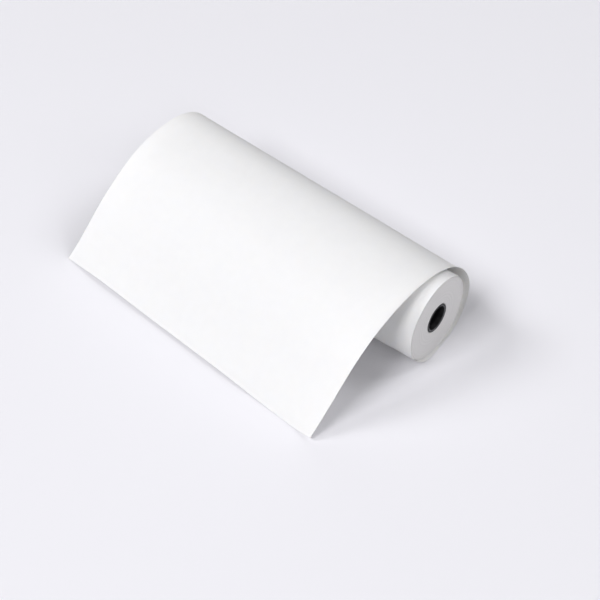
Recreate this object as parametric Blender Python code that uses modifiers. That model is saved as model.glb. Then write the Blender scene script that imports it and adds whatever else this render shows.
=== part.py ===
"""A small roll of white paper on a plastic core, standing on a floor with its free end drawn out.

The paper is one long web. Its inner end is taped to the core, most of it is wound into a tight
pack, the last turn hangs loose round the pack, and the free sheet runs from the crown of that
loose turn down to the floor in front. The sheet bends along its length, so the web is built as a
wound pack, a loose turn and a row of strips hinged to each other along straight lines.

Metres, +Z up. +X runs along the roll, +Y is behind it, and the sheet lies on the -Y side. The
origin is on the floor under the middle of the whole object's footprint.
"""

import math

import bpy
import numpy as np

# Driving dimensions, in metres.
ROLL_WIDTH = 0.210
PACK_RADIUS = 0.027
CORE_BORE_RADIUS = 0.0072
CORE_WALL = 0.0021
CORE_MOUTH_CHAMFER = 0.00105
CORE_RIM_CHAMFER = 0.0003
CORE_GAP = 0.0003
TAPE_THICKNESS = 0.0001
TAPE_WIDTH = 0.012
TAPE_LENGTH = 0.160
TAPE_GAP = 0.0003
WEB_THICKNESS = 0.0002
LOOSE_GAP = 0.0006
STRIP_LENGTH = 0.0235
STRIP_GAP = 0.0003
STRIP_COUNT = 5

# How far the web's two edges reach in front of the roll's axis, and how far they stand clear of
# the pack at the crown. Near is the +X edge and far is the -X edge.
NEAR_REACH = 0.0965
FAR_REACH = 0.0772
NEAR_CROWN_GAP = 0.0028
FAR_CROWN_GAP = 0.0045

# The web runs off the roll a little askew: its near edge stands past the pack's end under the
# roll, and drifts back towards the far side on its way to the free end.
NEAR_OVERHANG = 0.0045
SIDE_DRIFT = 0.0222

# How far the web follows the underside of the pack past its lowest point, before it joins it.
TUCK_ANGLE = math.radians(25)

# The free sheet's outline at each edge, as shares of its reach and of its crown height.
NEAR_SHEET = ((1, 0), (0.836, 0.305), (0.675, 0.594), (0.511, 0.800), (0.348, 0.925), (0.169, 1))
FAR_SHEET = ((1, 0), (0.865, 0.165), (0.665, 0.447), (0.446, 0.696), (0.212, 0.890))

# The loose turn's outline at each edge: the angle round the roll's axis, up from +Y in degrees,
# and the clearance from the pack in metres.
NEAR_TURN = (
    (81.2, 0.0031), (44.5, 0.0045), (15.6, 0.0073), (-3.6, 0.0095),
    (-24.6, 0.0095), (-43.3, 0.0080), (-62.9, 0.0038),
)
FAR_TURN = (
    (78.9, 0.0051), (56.6, 0.0111), (38.1, 0.0165), (21.0, 0.0196),
    (6.3, 0.0203), (-10.6, 0.0183), (-29.4, 0.0143), (-47.7, 0.0087), (-66.6, 0.0032),
)

# Sizes that follow from the driving dimensions.
CORE_RADIUS = CORE_BORE_RADIUS + CORE_WALL
PACK_BORE_RADIUS = CORE_RADIUS + CORE_GAP
TAPE_RADIUS = CORE_RADIUS + TAPE_GAP + TAPE_THICKNESS / 2
TAPE_SEAT_RADIUS = TAPE_RADIUS + TAPE_THICKNESS / 2 + TAPE_GAP
AXIS_HEIGHT = WEB_THICKNESS + LOOSE_GAP + PACK_RADIUS
TUCK_RADIUS = AXIS_HEIGHT - WEB_THICKNESS / 2

# Fineness of the faceted shapes.
TURN_STEPS = 72
TAPE_STEPS = 12
CURVE_SAMPLES = 2000
STRIP_STEPS = 6
LOOSE_TURN_STEPS = 36
STEPS_ACROSS = 6

COLLECTION_NAME = "paper_roll"


def clear_scene():
    for obj in list(bpy.data.objects):
        bpy.data.objects.remove(obj, do_unlink=True)


def new_collection(name):
    collection = bpy.data.collections.new(name)
    bpy.context.scene.collection.children.link(collection)
    return collection


def new_material(name, colour, roughness, metallic=0.0):
    material = bpy.data.materials.new(name)
    material.use_nodes = True
    shader = material.node_tree.nodes["Principled BSDF"]
    shader.inputs["Base Color"].default_value = (*colour, 1.0)
    shader.inputs["Roughness"].default_value = roughness
    shader.inputs["Metallic"].default_value = metallic
    return material


def new_object(name, mesh, collection, parent=None, material=None):
    obj = bpy.data.objects.new(name, mesh)
    collection.objects.link(obj)
    obj.parent = parent
    if material is not None:
        mesh.materials.append(material)
    return obj


def new_empty(name, location, collection, parent=None):
    empty = new_object(name, None, collection, parent)
    empty.location = location
    return empty


# ---- turned pieces: profiles of (radius, distance along the roll), spun round the roll's axis


def spin(obj, angle, steps):
    screw = obj.modifiers.new("spin", "SCREW")
    screw.axis = "Z"
    screw.angle = angle
    screw.steps = steps
    screw.render_steps = steps
    screw.use_smooth_shade = True
    screw.use_merge_vertices = angle >= math.tau
    screw.merge_threshold = 0.00001


def turned_piece(name, profile, collection, parent, material):
    """A closed ring profile, which runs down its outer side first, spun a full turn."""
    mesh = bpy.data.meshes.new(name)
    count = len(profile)
    points = [(radius, 0.0, along) for radius, along in profile]
    edges = [(i, (i + 1) % count) for i in range(count)]
    mesh.from_pydata(points, edges, [])
    obj = new_object(name, mesh, collection, parent, material)
    obj.rotation_euler = (0.0, math.pi / 2, 0.0)
    spin(obj, math.tau, TURN_STEPS)
    return obj


def curved_strip(name, radius, thickness, width, length, collection, parent, material=None):
    """A strip lying along the roll and bent round its axis, with its middle at the top."""
    mesh = bpy.data.meshes.new(name)
    mesh.from_pydata([(radius, 0.0, length / 2), (radius, 0.0, -length / 2)], [(0, 1)], [])
    obj = new_object(name, mesh, collection, parent, material)
    angle = width / radius
    obj.rotation_mode = "ZYX"
    obj.rotation_euler = (0.0, math.pi / 2, math.pi - angle / 2)
    spin(obj, angle, TAPE_STEPS)
    solidify = obj.modifiers.new("thickness", "SOLIDIFY")
    solidify.thickness = thickness
    solidify.offset = 0.0
    return obj


def core_tube(collection, parent, material):
    """A moulded tube with a chamfered mouth and a broken outer rim at each end."""
    end = ROLL_WIDTH / 2
    mouth = min(CORE_MOUTH_CHAMFER, CORE_WALL / 2)
    rim = min(CORE_RIM_CHAMFER, CORE_WALL / 8)
    outer_side = [
        (CORE_RADIUS - rim, end),
        (CORE_RADIUS, end - rim),
        (CORE_RADIUS, rim - end),
        (CORE_RADIUS - rim, -end),
    ]
    inner_side = [
        (CORE_BORE_RADIUS + mouth, -end),
        (CORE_BORE_RADIUS, mouth - end),
        (CORE_BORE_RADIUS, end - mouth),
        (CORE_BORE_RADIUS + mouth, end),
    ]
    return turned_piece("core_tube", outer_side + inner_side, collection, parent, material)


def wound_paper(collection, cutters, parent, material):
    """The tight pack, with a shallow seat in its bore over the tape."""
    end = ROLL_WIDTH / 2
    profile = [
        (PACK_RADIUS, end),
        (PACK_RADIUS, -end),
        (PACK_BORE_RADIUS, -end),
        (PACK_BORE_RADIUS, end),
    ]
    pack = turned_piece("wound_paper", profile, collection, parent, material)
    floor_of_cut = PACK_BORE_RADIUS - CORE_WALL / 4
    seat = curved_strip(
        "tape_seat_cutter",
        (TAPE_SEAT_RADIUS + floor_of_cut) / 2,
        TAPE_SEAT_RADIUS - floor_of_cut,
        TAPE_WIDTH + 2 * TAPE_GAP,
        TAPE_LENGTH + 2 * TAPE_GAP,
        cutters,
        parent,
    )
    seat.hide_render = True
    seat.display_type = "WIRE"
    cut = pack.modifiers.new("tape_seat", "BOOLEAN")
    cut.operation = "DIFFERENCE"
    cut.object = seat
    return pack


def core_tape(collection, parent, material):
    """The tape that holds the web's inner end to the core."""
    return curved_strip(
        "core_tape", TAPE_RADIUS, TAPE_THICKNESS, TAPE_WIDTH, TAPE_LENGTH,
        collection, parent, material,
    )


# ---- the loose web: a sheet ruled between its near and its far edge


def smooth_curve(points):
    """Closely spaced points on the natural cubic spline through the given (y, z) points."""
    points = np.array(points, dtype=float)
    spans = np.linalg.norm(np.diff(points, axis=0), axis=1)
    knots = np.concatenate([[0.0], np.cumsum(spans)])
    count = len(points)
    system = np.eye(count)
    loads = np.zeros((count, 2))
    slopes = np.diff(points, axis=0) / spans[:, None]
    for i in range(1, count - 1):
        system[i, i - 1 : i + 2] = spans[i - 1], 2 * (spans[i - 1] + spans[i]), spans[i]
        loads[i] = 6 * (slopes[i] - slopes[i - 1])
    bends = np.linalg.solve(system, loads)
    at = np.linspace(0.0, knots[-1], CURVE_SAMPLES)
    i = np.clip(np.searchsorted(knots, at, side="right") - 1, 0, count - 2)
    span = spans[i][:, None]
    after = ((at - knots[i]) / spans[i])[:, None]
    before = 1 - after
    straight = before * points[i] + after * points[i + 1]
    bulge = (before**3 - before) * bends[i] + (after**3 - after) * bends[i + 1]
    return straight + span**2 / 6 * bulge


def around_axis(radius, angle):
    return radius * math.cos(angle), AXIS_HEIGHT + radius * math.sin(angle)


def web_outline(reach, crown_gap, sheet_shares, turn):
    """One edge of the web as (y, z) from the roll's axis and the floor, free end first."""
    floor = WEB_THICKNESS / 2
    crown = AXIS_HEIGHT + PACK_RADIUS + crown_gap
    sheet = [(-reach * along, max(crown * up, floor)) for along, up in sheet_shares]
    turns = [around_axis(PACK_RADIUS + gap, math.radians(angle)) for angle, gap in turn]
    free = smooth_curve(sheet + turns + [around_axis(TUCK_RADIUS, -math.pi / 2)])
    # Where the curve would pass below the floor, the paper lies flat on it.
    free[:, 1] = np.maximum(free[:, 1], floor)
    angles = -math.pi / 2 - np.linspace(0.0, TUCK_ANGLE, TURN_STEPS)[1:]
    tuck = [around_axis(TUCK_RADIUS, angle) for angle in angles]
    return np.concatenate([free, tuck])


def shares_along(outline):
    steps = np.linalg.norm(np.diff(outline, axis=0), axis=1)
    lengths = np.concatenate([[0.0], np.cumsum(steps)])
    return lengths / lengths[-1], lengths[-1]


class Web:
    """The loose web's two edges, read at any share of its length from the free end."""

    def __init__(self):
        self.near = web_outline(NEAR_REACH, NEAR_CROWN_GAP, NEAR_SHEET, NEAR_TURN)
        self.far = web_outline(FAR_REACH, FAR_CROWN_GAP, FAR_SHEET, FAR_TURN)
        self.near_shares, self.length = shares_along(self.near)
        self.far_shares, _ = shares_along(self.far)

    def edges(self, shares):
        """Points on the near and on the far edge, a web's width apart along straight lines."""
        near = np.empty((len(shares), 3))
        far = np.empty((len(shares), 3))
        for column in (0, 1):
            near[:, column + 1] = np.interp(shares, self.near_shares, self.near[:, column])
            far[:, column + 1] = np.interp(shares, self.far_shares, self.far[:, column])
        near[:, 0] = ROLL_WIDTH / 2 + NEAR_OVERHANG - SIDE_DRIFT * (1 - shares)
        aside = np.sum((near[:, 1:] - far[:, 1:]) ** 2, axis=1)
        far[:, 0] = near[:, 0] - np.sqrt(ROLL_WIDTH**2 - aside)
        return near, far

    def footprint_centre(self):
        near, far = self.edges(np.linspace(0.0, 1.0, CURVE_SAMPLES))
        points = np.concatenate([near, far])
        return (points.min(axis=0) + points.max(axis=0)) / 2


def web_piece(name, web, start, stop, steps, origin, collection, parent, material):
    """The stretch of web between two shares of its length, as a sheet of the web's thickness."""
    near, far = web.edges(np.linspace(start, stop, steps + 1))
    across = np.linspace(0.0, 1.0, STEPS_ACROSS + 1)[None, :, None]
    grid = near[:, None, :] * (1 - across) + far[:, None, :] * across - origin
    row = STEPS_ACROSS + 1
    corners = [i * row + j for i in range(steps) for j in range(STEPS_ACROSS)]
    faces = [(corner, corner + 1, corner + row + 1, corner + row) for corner in corners]
    mesh = bpy.data.meshes.new(name)
    mesh.from_pydata(grid.reshape(-1, 3).tolist(), [], faces)
    mesh.shade_smooth()
    obj = new_object(name, mesh, collection, parent, material)
    obj.location = origin
    solidify = obj.modifiers.new("thickness", "SOLIDIFY")
    solidify.thickness = WEB_THICKNESS
    solidify.offset = 0.0
    return obj


def free_sheet(web, collection, parent, material):
    """The strips from the crown of the loose turn (1) to the free end, each on its hinge line."""
    half_gap = STRIP_GAP / 2 / web.length
    share = STRIP_LENGTH / web.length
    for number in range(1, STRIP_COUNT + 1):
        hinge = (STRIP_COUNT + 1 - number) * share
        free = hinge - share
        near, far = web.edges(np.array([hinge]))
        web_piece(
            f"free_sheet_{number}",
            web,
            free + half_gap if number < STRIP_COUNT else 0.0,
            hinge - half_gap,
            STRIP_STEPS,
            (near[0] + far[0]) / 2,
            collection,
            parent,
            material,
        )


def loose_turn(web, collection, parent, material):
    """The last turn, from the crown round the back of the pack and under it."""
    start = (STRIP_COUNT * STRIP_LENGTH + STRIP_GAP / 2) / web.length
    web_piece(
        "loose_turn", web, start, 1.0, LOOSE_TURN_STEPS, np.zeros(3),
        collection, parent, material,
    )


def build():
    clear_scene()
    parts = new_collection(COLLECTION_NAME)
    cutters = new_collection("cutters")
    paper = new_material("white_paper", (0.86, 0.86, 0.87), 0.75)
    plastic = new_material("black_plastic", (0.022, 0.022, 0.025), 0.42)
    adhesive = new_material("clear_tape", (0.78, 0.74, 0.62), 0.3)

    web = Web()
    centre = web.footprint_centre()
    placement = new_empty("paper_roll_placement", (-centre[0], -centre[1], 0.0), parts)
    axis = new_empty("roll_axis", (0.0, 0.0, AXIS_HEIGHT), parts, placement)

    core_tube(parts, axis, plastic)
    core_tape(parts, axis, adhesive)
    wound_paper(parts, cutters, axis, paper)
    loose_turn(web, parts, placement, paper)
    free_sheet(web, parts, placement, paper)


build()
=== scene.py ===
"""A small roll of white paper on a black plastic core, with its free end drawn out over the floor.

Metres, +Z up. +X runs along the roll, +Y is behind it, and the free sheet lies on the -Y side.
"""

import math

import bpy
import numpy as np
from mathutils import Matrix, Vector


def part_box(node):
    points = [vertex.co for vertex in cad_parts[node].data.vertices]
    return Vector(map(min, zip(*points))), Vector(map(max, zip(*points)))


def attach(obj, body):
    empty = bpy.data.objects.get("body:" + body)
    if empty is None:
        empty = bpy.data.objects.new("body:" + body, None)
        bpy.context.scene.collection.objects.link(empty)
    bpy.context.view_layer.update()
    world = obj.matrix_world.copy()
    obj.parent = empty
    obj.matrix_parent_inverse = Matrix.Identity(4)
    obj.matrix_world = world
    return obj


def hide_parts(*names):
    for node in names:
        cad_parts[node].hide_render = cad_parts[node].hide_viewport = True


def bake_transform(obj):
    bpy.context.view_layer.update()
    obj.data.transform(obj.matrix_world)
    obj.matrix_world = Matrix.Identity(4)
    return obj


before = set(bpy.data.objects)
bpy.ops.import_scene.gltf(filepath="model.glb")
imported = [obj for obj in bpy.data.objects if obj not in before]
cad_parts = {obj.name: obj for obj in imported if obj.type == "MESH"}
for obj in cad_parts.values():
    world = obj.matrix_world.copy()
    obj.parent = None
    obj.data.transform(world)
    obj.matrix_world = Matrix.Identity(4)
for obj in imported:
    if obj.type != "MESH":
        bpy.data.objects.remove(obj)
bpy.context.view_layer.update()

# ---- Studio ---------------------------------------------------------------------------------
# A seamless pale floor under five large soft boxes. The strongest stands high in front of the
# roll, a second to the left of it, and the others fill in from the right and from behind.

CAMERA_PLACE = (0.36702, -0.43180, 0.57494)
CAMERA_DOWN = math.radians(45.80)
CAMERA_TURN = math.radians(37.98)
CAMERA_LENS = 78.2
CAMERA_NEAREST = 0.01
FLOOR_SIZE = 12.0
FLOOR_COLOUR = (0.858, 0.855, 0.885)
FLOOR_ROUGHNESS = 0.7
FLOOR_SPECULAR = 0.25
ROOM_COLOUR = (1.0, 1.0, 1.0)
ROOM_LIGHT = 0.02
BOX_DISTANCE = 6.0
BOX_SIZE = 2.4
BOX_COLOUR = (0.985, 0.98, 1.0)
# Each soft box: degrees round to the right of the front, degrees up, watts.
SOFT_BOXES = (
    (-10.0, 50.0, 190.0),
    (-60.0, 45.0, 138.0),
    (140.0, 45.0, 100.0),
    (45.0, 40.0, 60.0),
    (90.0, 35.0, 36.0),
)


def new_material(name, roughness, specular=0.5, colour=None):
    """A material with one Principled shader, and that shader."""
    material = bpy.data.materials.new(name)
    material.use_nodes = True
    shader = material.node_tree.nodes["Principled BSDF"]
    shader.inputs["Roughness"].default_value = roughness
    shader.inputs["Specular IOR Level"].default_value = specular
    if colour is not None:
        shader.inputs["Base Color"].default_value = (*colour, 1.0)
    return material, shader


camera = bpy.data.objects.new("camera", bpy.data.cameras.new("camera"))
camera.location = CAMERA_PLACE
camera.rotation_euler = (math.pi / 2 - CAMERA_DOWN, 0.0, CAMERA_TURN)
camera.data.lens = CAMERA_LENS
camera.data.clip_start = CAMERA_NEAREST
bpy.context.scene.collection.objects.link(camera)
bpy.context.scene.camera = camera
bpy.context.scene.view_settings.view_transform = "Standard"

floor_material, _ = new_material("studio_floor", FLOOR_ROUGHNESS, FLOOR_SPECULAR, FLOOR_COLOUR)
floor_mesh = bpy.data.meshes.new("floor")
half_floor = FLOOR_SIZE / 2
floor_mesh.from_pydata(
    [
        (-half_floor, -half_floor, 0.0),
        (half_floor, -half_floor, 0.0),
        (half_floor, half_floor, 0.0),
        (-half_floor, half_floor, 0.0),
    ],
    [],
    [(0, 1, 2, 3)],
)
floor_mesh.materials.append(floor_material)
floor = bpy.data.objects.new("floor", floor_mesh)
bpy.context.scene.collection.objects.link(floor)

room = bpy.data.worlds.new("room")
room.use_nodes = True
room.node_tree.nodes["Background"].inputs["Color"].default_value = (*ROOM_COLOUR, 1.0)
room.node_tree.nodes["Background"].inputs["Strength"].default_value = ROOM_LIGHT
bpy.context.scene.world = room

for number, (around, up, watts) in enumerate(SOFT_BOXES, start=1):
    light = bpy.data.lights.new(f"soft_box_{number}", "AREA")
    light.shape = "SQUARE"
    light.size = BOX_SIZE
    light.energy = watts
    light.color = BOX_COLOUR
    soft_box = bpy.data.objects.new(f"soft_box_{number}", light)
    around, up = math.radians(around), math.radians(up)
    soft_box.location = (
        BOX_DISTANCE * math.sin(around) * math.cos(up),
        -BOX_DISTANCE * math.cos(around) * math.cos(up),
        BOX_DISTANCE * math.sin(up),
    )
    soft_box.rotation_euler = (math.pi / 2 - up, 0.0, around)
    bpy.context.scene.collection.objects.link(soft_box)

# ---- Core tube ------------------------------------------------------------------------------
# A tube moulded in black plastic, which carries the whole roll. Each end has a flat land, a
# broken outer rim, a narrow lip with a pale painted highlight, and a taper that leads a spindle in.

CORE_RADIUS = 0.0093
CORE_BORE_RADIUS = 0.0072
CORE_LAND_RADIUS = 0.0084
CORE_LIP_DEPTH = 0.00035
CORE_LIP_RADIUS = 0.0078
CORE_MOUTH_DEPTH = 0.0030
CORE_RIM_ROUND = 0.00030
CORE_EDGE_ROUND = 0.00012
CORE_COLOUR = (0.006, 0.006, 0.007)
# The lip's colour: a painted highlight, paler than the black plastic, where the lip's edge would
# catch the light.
CORE_LIP_HIGHLIGHT = (0.085, 0.085, 0.090)
CORE_ROUGHNESS = 0.42
CORE_SPECULAR = 0.3
GRAIN_SCALE = 1500.0
GRAIN_DETAIL = 2.0
GRAIN_STRENGTH = 0.6
GRAIN_HEIGHT = 0.00002
SHARP_EDGE = math.radians(40)
TURN_STEPS = 192
# Each rounded corner: its points, and the most of a side that it may take.
ROUND_STEPS = 5
ROUND_SHARE = 0.45

roll_low, roll_high = (np.array(corner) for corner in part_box("wound_paper"))
roll_middle = (roll_low + roll_high) / 2
roll_half = (roll_high[0] - roll_low[0]) / 2


def put_in_scene(name, mesh, material):
    """The piece's object, at the origin, with its finish and the record's name for it."""
    mesh.materials.append(material)
    piece = bpy.data.objects.new(name, mesh)
    bpy.context.scene.collection.objects.link(piece)
    return piece


def grid_mesh(name, grid):
    """A closed surface over a grid of points whose rows and columns both join up at their ends.

    Row i, column j makes a face with row i + 1 and column j + 1, counted round each way.
    """
    rows, columns = grid.shape[:2]
    i, j = np.meshgrid(np.arange(rows), np.arange(columns), indexing="ij")
    below, beside = (i + 1) % rows, (j + 1) % columns
    corners = (i * columns + j, i * columns + beside, below * columns + beside, below * columns + j)
    mesh = bpy.data.meshes.new(name)
    mesh.from_pydata(
        grid.reshape(-1, 3).tolist(), [], np.stack(corners, axis=-1).reshape(-1, 4).tolist()
    )
    mesh.shade_smooth()
    mesh.set_sharp_from_angle(angle=SHARP_EDGE)
    return mesh


turn_angle = np.linspace(0.0, 2 * math.pi, TURN_STEPS, endpoint=False)[None, :]


def turned(profile, along_shift=0.0):
    """Points (along + shift, radius cos a, radius sin a) for each profile point and each angle a.

    A profile is rows of (distance along the roll from its middle, radius from its axis). The
    shift is one number, or one for every profile point and angle.
    """
    along = np.repeat(profile[:, :1], TURN_STEPS, axis=1) + along_shift
    radius = np.repeat(profile[:, 1:], TURN_STEPS, axis=1)
    points = np.stack([along, radius * np.cos(turn_angle), radius * np.sin(turn_angle)], axis=-1)
    return points + roll_middle


def rounded(corners, radius):
    """The corner points of a profile, each cut back along both its sides by up to radius.

    Between the two cuts the line follows a parabola: with t from 0 to 1, (1-t)^2 times the first
    cut, 2t(1-t) times the corner and t^2 times the second cut.
    """
    corners = np.array(corners)
    before, after = np.roll(corners, 1, axis=0), np.roll(corners, -1, axis=0)

    def cut(towards):
        side = towards - corners
        length = np.linalg.norm(side, axis=1, keepdims=True)
        most = ROUND_SHARE * length
        return corners + side / length * np.minimum(np.array(radius)[:, None], most)

    t = np.linspace(0.0, 1.0, ROUND_STEPS)[None, :, None]
    first, second = cut(before)[:, None], cut(after)[:, None]
    line = (1 - t) ** 2 * first + 2 * t * (1 - t) * corners[:, None] + t**2 * second
    return line.reshape(-1, 2)


def own_place(material):
    """The coordinates of a point in its piece's own frame, for a material."""
    return material.node_tree.nodes.new("ShaderNodeTexCoord").outputs["Object"]


def noise(material, place, scale, detail):
    """The value of a Noise node over the given coordinates."""
    node = material.node_tree.nodes.new("ShaderNodeTexNoise")
    node.inputs["Scale"].default_value = scale
    node.inputs["Detail"].default_value = detail
    material.node_tree.links.new(place, node.inputs["Vector"])
    return node.outputs["Fac"]


def bumped(material, shader, *layers, strength=1.0):
    """The shader's normal, raised by one Bump node after another: (value, height in metres)."""
    nodes, links = material.node_tree.nodes, material.node_tree.links
    normal = None
    for value, height in layers:
        bump = nodes.new("ShaderNodeBump")
        bump.inputs["Strength"].default_value = strength
        bump.inputs["Distance"].default_value = height
        links.new(value, bump.inputs["Height"])
        if normal is not None:
            links.new(normal, bump.inputs["Normal"])
        normal = bump.outputs["Normal"]
    links.new(normal, shader.inputs["Normal"])


core_corners = [
    (-roll_half, CORE_RADIUS),
    (roll_half, CORE_RADIUS),
    (roll_half, CORE_LAND_RADIUS),
    (roll_half - CORE_LIP_DEPTH, CORE_LIP_RADIUS),
    (roll_half - CORE_MOUTH_DEPTH, CORE_BORE_RADIUS),
    (CORE_MOUTH_DEPTH - roll_half, CORE_BORE_RADIUS),
    (CORE_LIP_DEPTH - roll_half, CORE_LIP_RADIUS),
    (-roll_half, CORE_LAND_RADIUS),
]
core_rounds = [CORE_RIM_ROUND, CORE_RIM_ROUND] + [CORE_EDGE_ROUND] * 6

black_plastic, plastic_shader = new_material(
    "black_plastic", CORE_ROUGHNESS, CORE_SPECULAR, CORE_COLOUR
)
grain = noise(black_plastic, own_place(black_plastic), GRAIN_SCALE, GRAIN_DETAIL)
bumped(black_plastic, plastic_shader, (grain, GRAIN_HEIGHT), strength=GRAIN_STRENGTH)
core = put_in_scene(
    "core_tube_moulding",
    grid_mesh("core_tube_moulding", turned(rounded(core_corners, core_rounds))),
    black_plastic,
)
# The lip's faces at each end take this paler colour, as a painted highlight on the black plastic.
painted_highlight_plastic, _ = new_material("painted_highlight_plastic", CORE_ROUGHNESS, colour=CORE_LIP_HIGHLIGHT)
core.data.materials.append(painted_highlight_plastic)
for face in core.data.polygons:
    radius = math.hypot(face.center[1] - roll_middle[1], face.center[2] - roll_middle[2])
    at_end = abs(face.center[0] - roll_middle[0]) > roll_half - CORE_LIP_DEPTH
    if at_end and CORE_LIP_RADIUS < radius < CORE_LAND_RADIUS:
        face.material_index = 1
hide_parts("core_tube")
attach(core, "roll")

# ---- Core tape ------------------------------------------------------------------------------
# A strip of clear tape laid lengthways on the core. It holds the paper's inner end, in a shallow
# seat in the pack's bore, so it is out of sight on a full roll.

TAPE_COLOUR = (0.78, 0.74, 0.62)
TAPE_ROUGHNESS = 0.3

tape_material, _ = new_material("clear_tape", TAPE_ROUGHNESS, colour=TAPE_COLOUR)
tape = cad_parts["core_tape"]
tape.data.materials.clear()
tape.data.materials.append(tape_material)

# ---- Wound pack -----------------------------------------------------------------------------
# Some thirty metres of white paper wound tight on the core. Its ends are the edges of the turns,
# which stand in and out of line by a hair, and the outermost turns stand a little proud.

PACK_RADIUS = 0.027
PACK_BORE_RADIUS = 0.0096
SIDE_STEPS = 60
BORE_STEPS = 20
PROUD_STEPS = 16
END_STEPS = 60
# Each end: how far its turns stray in and out, along waves of so many radians a metre of radius,
# and how far they spiral in for each radian round.
END_UNEVENNESS = 0.00006
END_WAVES = (900.0, 2300.0, 4100.0, 7900.0)
END_WAVE_SEED = 3
END_SPIRAL = 0.00006
# The outermost turns: how deep they go, how far they stand out, and where and how much they lean.
PROUD_TURNS = 0.0007
PROUD_HEIGHT = 0.00022
PROUD_LEAN = 0.5
PROUD_LEAN_AT = 0.9
PAPER_COLOUR = (0.893, 0.890, 0.873)
PAPER_DARK = (0.881, 0.878, 0.861)
PAPER_ROUGHNESS = 0.62
PAPER_SPECULAR = 0.3
PAPER_SCATTER = 0.45
PAPER_SCATTER_TINT = (1.0, 0.93, 0.82)
PAPER_SCATTER_REACH = 0.0004
# Each layer of noise: its scale, its detail, and how high it stands.
CLOUDS = (170.0, 4.0, 0.00006)
FIBRES = (2600.0, 3.0, 0.000012)
BUNDLES = (900.0, 5.0, 0.00006)
TURNS = (7000.0, 2.0, 0.00002)
RING_SWAY = (60.0, 2.0, 0.0009)
EDGE_COLOUR = (0.765, 0.756, 0.748)
EDGE_DARK = (0.725, 0.716, 0.708)
EDGE_ROUGHNESS = 0.8
EDGE_SPECULAR = 0.2
# Faces no deeper than this in from the roll's ends count as its ends.
EDGE_DEPTH = 0.0005
# The values of a noise between which a colour changes.
RAMP_LOW = 0.3
RAMP_HIGH = 0.7

proud_floor = PACK_RADIUS - 2 * PROUD_TURNS
end_radii = np.concatenate(
    [
        np.linspace(PACK_RADIUS, proud_floor, PROUD_STEPS),
        np.linspace(proud_floor, PACK_BORE_RADIUS, END_STEPS)[1:],
    ]
)


def level_line(start, stop, steps, radius):
    """The points between two ends of a line along the roll, at one radius, without the ends."""
    return np.stack([np.linspace(start, stop, steps), np.full(steps, radius)], axis=1)[1:-1]


pack_profile = np.concatenate(
    [
        level_line(-roll_half, roll_half, SIDE_STEPS, PACK_RADIUS),
        np.stack([np.full(end_radii.size, roll_half), end_radii], axis=1),
        level_line(roll_half, -roll_half, BORE_STEPS, PACK_BORE_RADIUS),
        np.stack([np.full(end_radii.size, -roll_half), end_radii[::-1]], axis=1),
    ]
)


def wandering(values, seed, waves):
    """A smooth wandering line: a sum of waves cos(wave * value + phase), divided by their count."""
    phases = np.random.default_rng(seed).uniform(0.0, 2 * math.pi, len(waves))
    return sum(np.cos(w * values + p) for w, p in zip(waves, phases)) / len(waves)


at_end = np.sign(pack_profile[:, :1]) * (np.abs(pack_profile[:, :1]) > roll_half - 1e-9)
radius_in = pack_profile[:, 1:]
uneven = wandering(radius_in + END_SPIRAL * turn_angle, END_WAVE_SEED, END_WAVES)
proud = np.clip(1 - (PACK_RADIUS - radius_in) / PROUD_TURNS, 0.0, 1.0) ** 0.5
proud = proud * (1 + PROUD_LEAN * np.cos(turn_angle + PROUD_LEAN_AT))
end_shift = at_end * (END_UNEVENNESS * uneven + PROUD_HEIGHT * proud - PROUD_HEIGHT)


def coloured(material, shader, value, low, high):
    """The shader's colour, which runs from low to high with the value."""
    ramp = material.node_tree.nodes.new("ShaderNodeValToRGB")
    ramp.color_ramp.elements[0].position = RAMP_LOW
    ramp.color_ramp.elements[0].color = (*low, 1.0)
    ramp.color_ramp.elements[1].position = RAMP_HIGH
    ramp.color_ramp.elements[1].color = (*high, 1.0)
    material.node_tree.links.new(value, ramp.inputs["Fac"])
    material.node_tree.links.new(ramp.outputs["Color"], shader.inputs["Base Color"])


# The paper's face: smooth and matt, with a felt of fibres and the faint clouds of its making.
# Being thin, it scatters some light right through itself, a little warmer than it came.
white_paper, paper_shader = new_material("white_paper", PAPER_ROUGHNESS, PAPER_SPECULAR)
paper_place = own_place(white_paper)
clouds = noise(white_paper, paper_place, *CLOUDS[:2])
fibres = noise(white_paper, paper_place, *FIBRES[:2])
coloured(white_paper, paper_shader, clouds, PAPER_DARK, PAPER_COLOUR)
bumped(white_paper, paper_shader, (clouds, CLOUDS[2]), (fibres, FIBRES[2]))
paper_shader.inputs["Subsurface Weight"].default_value = PAPER_SCATTER
paper_shader.inputs["Subsurface Radius"].default_value = PAPER_SCATTER_TINT
paper_shader.inputs["Subsurface Scale"].default_value = PAPER_SCATTER_REACH

# The ends of the pack: thousands of cut edges, which show as fine rings round the roll's axis.
# The distance from the axis, swayed a little by noise, drives one-dimensional noise.
wound_edges, edge_shader = new_material("wound_edges", EDGE_ROUGHNESS, EDGE_SPECULAR)
nodes, links = wound_edges.node_tree.nodes, wound_edges.node_tree.links
from_axis = nodes.new("ShaderNodeMapping")
from_axis.inputs["Location"].default_value = (0.0, -roll_middle[1], -roll_middle[2])
from_axis.inputs["Scale"].default_value = (0.0, 1.0, 1.0)
links.new(own_place(wound_edges), from_axis.inputs["Vector"])
distance = nodes.new("ShaderNodeVectorMath")
distance.operation = "LENGTH"
links.new(from_axis.outputs["Vector"], distance.inputs[0])
swayed = nodes.new("ShaderNodeMath")
swayed.operation = "MULTIPLY_ADD"
swayed.inputs[1].default_value = RING_SWAY[2]
links.new(noise(wound_edges, from_axis.outputs["Vector"], *RING_SWAY[:2]), swayed.inputs[0])
links.new(distance.outputs["Value"], swayed.inputs[2])


def rings(scale, detail):
    """The value of a one-dimensional Noise node over the swayed distance from the axis."""
    node = nodes.new("ShaderNodeTexNoise")
    node.noise_dimensions = "1D"
    node.inputs["Scale"].default_value = scale
    node.inputs["Detail"].default_value = detail
    links.new(swayed.outputs["Value"], node.inputs["W"])
    return node.outputs["Fac"]


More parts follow.
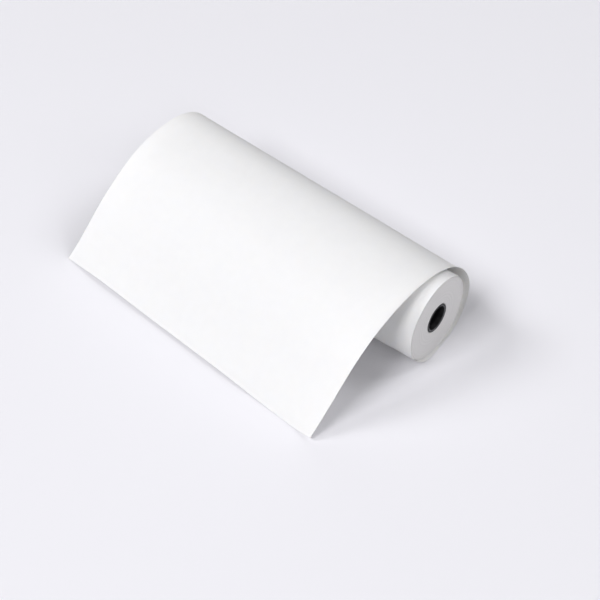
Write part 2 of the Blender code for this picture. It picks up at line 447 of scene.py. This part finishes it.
bundles, turns = rings(*BUNDLES[:2]), rings(*TURNS[:2])
coloured(wound_edges, edge_shader, bundles, EDGE_DARK, EDGE_COLOUR)
bumped(wound_edges, edge_shader, (bundles, BUNDLES[2]), (turns, TURNS[2]))

pack = put_in_scene(
    "wound_pack",
    grid_mesh("wound_pack", turned(pack_profile, end_shift)),
    white_paper,
)
pack.data.materials.append(wound_edges)
face_middle = np.empty(3 * len(pack.data.polygons), np.float32)
pack.data.polygons.foreach_get("center", face_middle)
on_end = np.abs(face_middle.reshape(-1, 3)[:, 0] - roll_middle[0]) > roll_half - EDGE_DEPTH
pack.data.polygons.foreach_set("material_index", on_end.astype(np.int32))
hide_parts("wound_paper")
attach(pack, "roll")

# ---- Loose turn -----------------------------------------------------------------------------
# The same paper, off the pack. One curved surface runs from the cut end on the floor, up the free
# sheet, over the crown and down round the back of the pack, and ends just under it. This piece is
# its last stretch, which stands clear of the pack behind it. The roll's own curl holds it open.

# The run of both edges, as the solids have it.
WEB_WIDTH = 0.210
WEB_THICKNESS = 0.00018
CAD_WEB_THICKNESS = 0.0002
AXIS_HEIGHT = 0.0278
TUCK_RADIUS = 0.0277
TUCK_ANGLE = math.radians(25)
STRIP_LENGTH = 0.0235
SHEET_STRIPS = 5
NEAR_REACH = 0.0965
FAR_REACH = 0.0772
NEAR_CROWN_GAP = 0.0028
FAR_CROWN_GAP = 0.0045
NEAR_OVERHANG = 0.0045
SIDE_DRIFT = 0.0222
NEAR_SHEET = ((1, 0), (0.836, 0.305), (0.675, 0.594), (0.511, 0.800), (0.348, 0.925), (0.169, 1))
FAR_SHEET = ((1, 0), (0.865, 0.165), (0.665, 0.447), (0.446, 0.696), (0.212, 0.890))
NEAR_TURN = (
    (81.2, 0.0031), (44.5, 0.0045), (15.6, 0.0073), (-3.6, 0.0095),
    (-24.6, 0.0095), (-43.3, 0.0080), (-62.9, 0.0038),
)
FAR_TURN = (
    (78.9, 0.0051), (56.6, 0.0111), (38.1, 0.0165), (21.0, 0.0196),
    (6.3, 0.0203), (-10.6, 0.0183), (-29.4, 0.0143), (-47.7, 0.0087), (-66.6, 0.0032),
)
TUCK_STEPS = 72
# How far the crown sinks inside its near edge, how soon across the paper it starts and fades,
# and the heights between which it comes in.
CROWN_SINK = 0.0034
FLARE_EDGE = 0.02
FLARE_FADE = 0.13
FLARE_FLOOR = 0.036
FLARE_TOP = 0.054
# The cut end: its height off the floor at places across it, how far its near corner reaches out,
# and how far up the sheet both fade.
END_LIFT = (
    (0.0, 0.0022), (0.045, 0.0005), (0.1, 0.0), (0.2, 0.0003), (0.3, 0.0011), (0.45, 0.0014),
    (0.6, 0.0014), (0.75, 0.0017), (0.9, 0.0015), (0.96, 0.0006), (1.0, 0.0),
)
END_REACH = (0.0012, -0.0018)
END_FADE = 0.030
# How far the paper stands to the +X side of a straight drift, at shares of its length.
SIDE_BOW = (
    (0.0, 0.0), (0.1, 0.0005), (0.4, 0.0006), (0.6, 0.0009), (0.7, 0.0006),
    (0.79, -0.0004), (0.86, -0.0012), (1.0, -0.0022),
)
# Shallow dents in the sheet: place along it, place across it, depth and size.
DENTS = ((0.44, 0.78, 0.00022, 0.006), (0.47, 0.66, 0.00016, 0.005), (0.36, 0.62, 0.00015, 0.007))
# How far beyond the free sheet's strips the loose turn starts, as a share of the whole length.
TURN_JOIN = 0.11
ROW_STEP = 0.0012
COLUMNS = 106
CURVE_POINTS = 4000
# How far to each side, in shares, the surface is sampled to find its normal.
NORMAL_STEP = 0.0015


def smooth_curve(points):
    """Closely spaced points on the natural cubic spline through the given pairs.

    Between two of them, a point is their straight mix plus (span squared / 6) times the mix of
    the bends at the two, each weighted by its share cubed less its share.
    """
    points = np.array(points, dtype=float)
    spans = np.linalg.norm(np.diff(points, axis=0), axis=1)
    knots = np.concatenate([[0.0], np.cumsum(spans)])
    slopes = np.diff(points, axis=0) / spans[:, None]
    inner = np.arange(1, len(points) - 1)
    system = np.eye(len(points))
    loads = np.zeros((len(points), 2))
    system[inner, inner - 1] = spans[:-1]
    system[inner, inner] = 2 * (spans[:-1] + spans[1:])
    system[inner, inner + 1] = spans[1:]
    loads[inner] = 6 * np.diff(slopes, axis=0)
    bends = np.linalg.solve(system, loads)
    at = np.linspace(0.0, knots[-1], CURVE_POINTS)
    i = np.clip(np.searchsorted(knots, at, side="right") - 1, 0, len(points) - 2)
    after = ((at - knots[i]) / spans[i])[:, None]
    before = 1 - after
    bulge = (before**3 - before) * bends[i] + (after**3 - after) * bends[i + 1]
    return before * points[i] + after * points[i + 1] + spans[i][:, None] ** 2 / 6 * bulge


def web_edge(reach, crown_gap, sheet_shares, turn):
    """One edge of the paper as (y, z) from the roll's axis and the floor, cut end first.

    The free sheet's points are shares of the reach and of the crown's height. The turn's points
    are (radius cos a, axis height + radius sin a), and so is the tuck, at a constant radius.
    """
    shares = np.array(sheet_shares, dtype=float)
    resting = CAD_WEB_THICKNESS / 2
    crown = AXIS_HEIGHT + PACK_RADIUS + crown_gap
    sheet = np.stack([-reach * shares[:, 0], np.maximum(crown * shares[:, 1], resting)], axis=1)
    angles = np.radians([a for a, _ in turn] + [-90.0])
    radii = np.array([PACK_RADIUS + gap for _, gap in turn] + [TUCK_RADIUS])
    turns = np.stack([radii * np.cos(angles), AXIS_HEIGHT + radii * np.sin(angles)], axis=1)
    free = smooth_curve(np.concatenate([sheet, turns]))
    free[:, 1] = np.maximum(free[:, 1], resting)
    tuck_angles = -math.pi / 2 - np.linspace(0.0, TUCK_ANGLE, TUCK_STEPS)[1:]
    tuck = [TUCK_RADIUS * np.cos(tuck_angles), AXIS_HEIGHT + TUCK_RADIUS * np.sin(tuck_angles)]
    edge = np.concatenate([free, np.stack(tuck, axis=1)])
    lengths = np.concatenate([[0.0], np.cumsum(np.linalg.norm(np.diff(edge, axis=0), axis=1))])
    return edge, lengths / lengths[-1], lengths[-1]


near_edge, near_shares, web_length = web_edge(NEAR_REACH, NEAR_CROWN_GAP, NEAR_SHEET, NEAR_TURN)
far_edge, far_shares, _ = web_edge(FAR_REACH, FAR_CROWN_GAP, FAR_SHEET, FAR_TURN)
roll_axis = np.array([roll_middle[0], roll_middle[1], 0.0])
end_lift = smooth_curve(END_LIFT)
side_bow = smooth_curve(SIDE_BOW)


def web_surface(share, across):
    """Points of the paper's middle surface, for shares of its length from the cut end, across it.

    Each lies on the straight line from the near edge (across 0) to the far edge (across 1) at the
    same share of the length, a paper's width apart. Just inside the near edge the crown then
    sinks towards the roll's axis, by a share that rises as 1 - exp(-across) and fades as
    exp(-across), and that comes in with height as 3 u^2 - 2 u^3, where u runs from 0 to 1. The
    cut end lifts off the floor and reaches out by amounts that vary across it and fade as
    exp(-length^2). Shallow round dents press the sheet in by depth times exp(-distance^2 /
    size^2).
    """
    near = np.stack([np.interp(share, near_shares, near_edge[:, k]) for k in (0, 1)], axis=-1)
    far = np.stack([np.interp(share, far_shares, far_edge[:, k]) for k in (0, 1)], axis=-1)
    bow = np.interp(share, *side_bow.T)
    near_x = WEB_WIDTH / 2 + NEAR_OVERHANG - SIDE_DRIFT * (1 - share) + bow
    far_x = near_x - np.sqrt(WEB_WIDTH**2 - np.sum((near - far) ** 2, axis=-1))
    near = np.concatenate([near_x[..., None], near], axis=-1)
    far = np.concatenate([far_x[..., None], far], axis=-1)
    point = near + across[..., None] * (far - near)
    outward = point[..., 1:] - np.array([0.0, AXIS_HEIGHT])
    outward /= np.linalg.norm(outward, axis=-1, keepdims=True)
    high_up = np.clip((point[..., 2] - FLARE_FLOOR) / (FLARE_TOP - FLARE_FLOOR), 0.0, 1.0)
    flare = (1 - np.exp(-across / FLARE_EDGE)) * np.exp(-across / FLARE_FADE)
    sink = CROWN_SINK * flare * high_up**2 * (3 - 2 * high_up)
    point[..., 1:] -= sink[..., None] * outward
    at_end = np.exp(-((share * web_length / END_FADE) ** 2))
    point[..., 2] += at_end * np.interp(across, *end_lift.T)
    point[..., :2] += (at_end * (1 - across))[..., None] * np.array(END_REACH)
    for at_share, at_across, depth, size in DENTS:
        apart = ((share - at_share) * web_length) ** 2 + ((across - at_across) * WEB_WIDTH) ** 2
        point[..., 1:] -= (depth * np.exp(-apart / size**2))[..., None] * outward
    return point + roll_axis


def sheet_mesh(name, middle, normal):
    """A closed thin sheet: middle points moved half the thickness both ways along their normals."""
    rows, columns = middle.shape[:2]
    upper, under = middle + WEB_THICKNESS / 2 * normal, middle - WEB_THICKNESS / 2 * normal
    ring = np.concatenate([upper, under[:, ::-1]], axis=1)
    width = 2 * columns
    i, j = np.meshgrid(np.arange(rows - 1), np.arange(width), indexing="ij")
    beside = (j + 1) % width
    sides = np.stack(
        [i * width + j, (i + 1) * width + j, (i + 1) * width + beside, i * width + beside], axis=-1
    ).reshape(-1, 4)
    j = np.arange(columns - 1)
    first_end = np.stack([j, j + 1, width - 2 - j, width - 1 - j], axis=-1)
    last_end = first_end[:, ::-1] + (rows - 1) * width
    mesh = bpy.data.meshes.new(name)
    mesh.from_pydata(
        ring.reshape(-1, 3).tolist(), [], np.concatenate([sides, first_end, last_end]).tolist()
    )
    mesh.shade_smooth()
    normals = np.concatenate([normal, -normal[:, ::-1]], axis=1).reshape(-1, 3)
    mesh.normals_split_custom_set_from_vertices(normals.tolist())
    return mesh


def web_mesh(name, start, stop):
    """A thin sheet over the paper's surface between two shares of its length.

    Its normal is the cross product of the surface's steps along and across.
    """
    rows = 1 + math.ceil((stop - start) * web_length / ROW_STEP)
    share, across = np.meshgrid(
        np.linspace(start, stop, rows), np.linspace(0.0, 1.0, COLUMNS), indexing="ij"
    )
    middle = web_surface(share, across)
    along, over = (
        (np.maximum(value - NORMAL_STEP, 0.0), np.minimum(value + NORMAL_STEP, 1.0))
        for value in (share, across)
    )
    along_step = web_surface(along[1], across) - web_surface(along[0], across)
    across_step = web_surface(share, over[1]) - web_surface(share, over[0])
    normal = np.cross(along_step, across_step)
    normal /= np.linalg.norm(normal, axis=-1, keepdims=True)
    return sheet_mesh(name, middle, normal)


def web_piece(name, start, stop, node):
    """The stretch of paper between two shares of its length, as a thin sheet; it hides the given
    node.
    """
    piece = put_in_scene(name, web_mesh(name, start, stop), white_paper)
    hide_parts(node)
    return piece


strip = STRIP_LENGTH / web_length
turn_start = SHEET_STRIPS * strip + TURN_JOIN
back_turn = web_piece("web_back_turn", turn_start, 1.0, "loose_turn")
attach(back_turn, "loose_turn")

# ---- Inner turn -----------------------------------------------------------------------------
# Under the loose turn the paper goes on round the pack as its outermost turn. It is not yet
# pulled tight: it creeps back in line with the pack's ends, and stands off a little at the back.

# Degrees round from the back, distance from the axis, and overhang past the pack's near end.
INNER_TURN = (
    (-115, 0.02770, 0.0023), (-140, 0.02745, 0.0015), (-165, 0.02725, 0.0007),
    (-190, 0.02718, 0.0002), (-230, 0.02716, 0.0001), (-270, 0.02717, 0.0002),
    (-310, 0.02730, 0.0005), (-350, 0.02790, 0.0008), (-390, 0.02790, 0.0007),
    (-425, 0.02745, 0.0004), (-450, 0.02722, 0.0003),
)
INNER_STEPS = 200

inner_angle, inner_radius, inner_overhang = np.transpose(INNER_TURN)
at_angle = np.linspace(inner_angle[0], inner_angle[-1], INNER_STEPS)
radius_curve = smooth_curve(np.stack([-inner_angle, inner_radius], axis=1))
overhang_curve = smooth_curve(np.stack([-inner_angle, inner_overhang], axis=1))
smooth_radius = np.interp(-at_angle, *radius_curve.T)
smooth_overhang = np.interp(-at_angle, *overhang_curve.T)
inner_share = np.linspace(0.0, 1.0, COLUMNS)[None, :]
turn_by = np.radians(at_angle)[:, None]
inner_normal = np.stack(
    np.broadcast_arrays(0.0 * inner_share, np.cos(turn_by), np.sin(turn_by)), axis=-1
)
inner_x = WEB_WIDTH / 2 + smooth_overhang[:, None] - WEB_WIDTH * inner_share
inner_middle = np.stack(
    np.broadcast_arrays(
        inner_x,
        smooth_radius[:, None] * np.cos(turn_by),
        AXIS_HEIGHT + smooth_radius[:, None] * np.sin(turn_by),
    ),
    axis=-1,
)
inner = put_in_scene(
    "web_inner_turn",
    sheet_mesh("web_inner_turn", inner_middle + roll_axis, inner_normal),
    white_paper,
)
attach(inner, "loose_turn")

# ---- Crown ----------------------------------------------------------------------------------
# The paper over the top of the pack, from the loose turn to the free sheet.

FEED_DIRECTION = (-0.0919, -0.99577, 0.0)


def middle_at(share):
    """The point of the paper's surface half-way across, at a share of its length."""
    return web_surface(np.array(share), np.array(0.5))


crown_start = (SHEET_STRIPS - 0.5) * strip
crown = web_piece(
    "web_crown", crown_start, turn_start, "free_sheet_1"
)
feed = np.array(FEED_DIRECTION)
crown_back = middle_at(turn_start)
crown_run = (middle_at(crown_start) - crown_back) @ feed
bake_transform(crown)

# ---- Free sheet -----------------------------------------------------------------------------
# Four panels of paper, from below the crown down to the cut end on the floor. Each one spans
# one of the sheet's four lines, and meets the next panel half-way between two lines.

BEND_REACH = 0.0095
# How far to each side, in shares of its length, the sheet is sampled to find which way it runs.
DIRECTION_STEP = 0.004

for number in range(2, SHEET_STRIPS + 1):
    bend_at = (SHEET_STRIPS + 1 - number) * strip
    down = middle_at(bend_at - DIRECTION_STEP) - middle_at(bend_at + DIRECTION_STEP)
    down /= np.linalg.norm(down)
    last = number == SHEET_STRIPS
    panel = web_piece(
        f"web_panel_{number}",
        0.0 if last else (SHEET_STRIPS + 0.5 - number) * strip,
        (SHEET_STRIPS + 1.5 - number) * strip,
        f"free_sheet_{number}",
    )
    middle_at(bend_at) - BEND_REACH * down
    middle_at(bend_at) + BEND_REACH * down
    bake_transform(panel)
